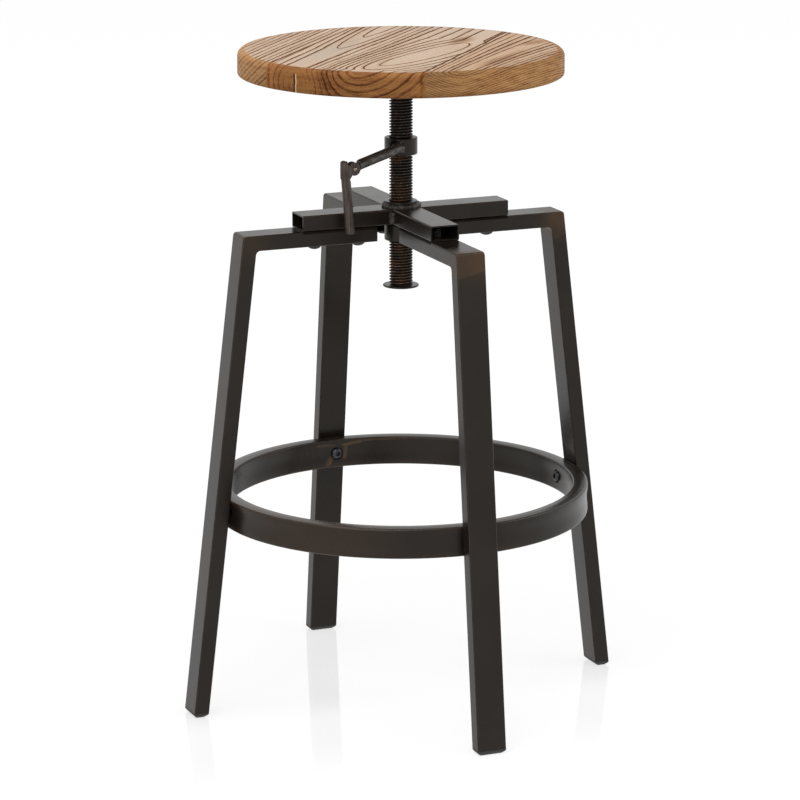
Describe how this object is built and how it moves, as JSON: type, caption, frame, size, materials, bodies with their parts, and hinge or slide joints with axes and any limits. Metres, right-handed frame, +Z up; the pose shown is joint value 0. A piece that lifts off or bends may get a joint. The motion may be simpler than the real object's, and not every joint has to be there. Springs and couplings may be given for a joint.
{
  "type": "height-adjustable screw stool",
  "caption": "Round wooden seat on a threaded rod in a splayed tubular metal frame with a foot ring; it turns to set its height and a crank collar locks it.",
  "frame": {"origin": "on the floor under the middle of the seat, on the rod's axis", "axes": "+Z up along the rod, +X along leg 1, +Y along leg 2"},
  "size_m": [0.4752, 0.4752, 0.6823],
  "materials": {
    "seat_wood": "oiled, strong grain",
    "frame_paint": "satin dark bronze, rubbed at edges",
    "thread_steel": "dark blued steel, brown crests",
    "handle_steel": "worn brown bronze",
    "bolt_steel": "black satin",
    "plain_steel": "zinc plated",
    "cap_plastic": "black, matte"
  },
  "bodies": {
    "base": {"hub_sleeve": "frame_paint", "foot_ring": "frame_paint", "cross_arm_1": "frame_paint", "cross_arm_2": "frame_paint", "cross_arm_3": "frame_paint", "cross_arm_4": "frame_paint", "leg_1": "frame_paint", "leg_2": "frame_paint", "leg_3": "frame_paint", "leg_4": "frame_paint", "foot_cap_1": "cap_plastic", "foot_cap_2": "cap_plastic", "foot_cap_3": "cap_plastic", "foot_cap_4": "cap_plastic", "ring_bolt_1": "bolt_steel", "ring_bolt_2": "bolt_steel", "ring_bolt_3": "bolt_steel", "ring_bolt_4": "bolt_steel", "ring_insert_1": "plain_steel", "ring_insert_2": "plain_steel", "ring_insert_3": "plain_steel", "ring_insert_4": "plain_steel", "leg_bolt_1_inner": "bolt_steel", "leg_bolt_1_outer": "bolt_steel", "leg_bolt_2_inner": "bolt_steel", "leg_bolt_2_outer": "bolt_steel", "leg_bolt_3_inner": "bolt_steel", "leg_bolt_3_outer": "bolt_steel", "leg_bolt_4_inner": "bolt_steel", "leg_bolt_4_outer": "bolt_steel", "arm_nut_1_inner": "plain_steel", "arm_nut_1_outer": "plain_steel", "arm_nut_2_inner": "plain_steel", "arm_nut_2_outer": "plain_steel", "arm_nut_3_inner": "plain_steel", "arm_nut_3_outer": "plain_steel", "arm_nut_4_inner": "plain_steel", "arm_nut_4_outer": "plain_steel"},
    "lift": {"stop_disc": "frame_paint"},
    "seat": {"seat_board_left": "seat_wood", "seat_board_middle": "seat_wood", "seat_board_right": "seat_wood", "seat_plate": "frame_paint", "threaded_rod": "thread_steel", "stop_screw": "bolt_steel", "seat_screw_1": "plain_steel", "seat_screw_2": "plain_steel", "seat_screw_3": "plain_steel", "seat_screw_4": "plain_steel"},
    "collar": {"lock_collar": "frame_paint"},
    "crank": {"crank_arm": "frame_paint"},
    "handle": {"crank_handle": "handle_steel", "handle_rivet": "plain_steel"}
  },
  "joints": [
    {"name": "seat_lift", "type": "slide", "parent": "base", "child": "lift", "axis": [0, 0, 1], "range_m": [-0.06, 0.0465]},
    {"name": "seat_turn", "type": "hinge", "parent": "lift", "child": "seat", "pos_m": [0, 0, 0.55], "axis": [0, 0, 1], "range_deg": [-7200, 5580]},
    {"name": "collar_travel", "type": "slide", "parent": "base", "child": "collar", "axis": [0, 0, 1], "range_m": [-0.048, 0]},
    {"name": "collar_turn", "type": "hinge", "parent": "collar", "child": "crank", "pos_m": [0, 0, 0.58255], "axis": [0, 0, 1], "range_deg": [-3, 36]},
    {"name": "handle_fold", "type": "hinge", "parent": "crank", "child": "handle", "pos_m": [-0.06424, -0.02767, 0.56715], "axis": [-0.1305, 0.9914, 0], "range_deg": [-20, 78]}
  ],
  "couplings": [
    {"joint": "seat_lift", "follows": "seat_turn", "m_per_rad": 0.00047746}
  ]
}
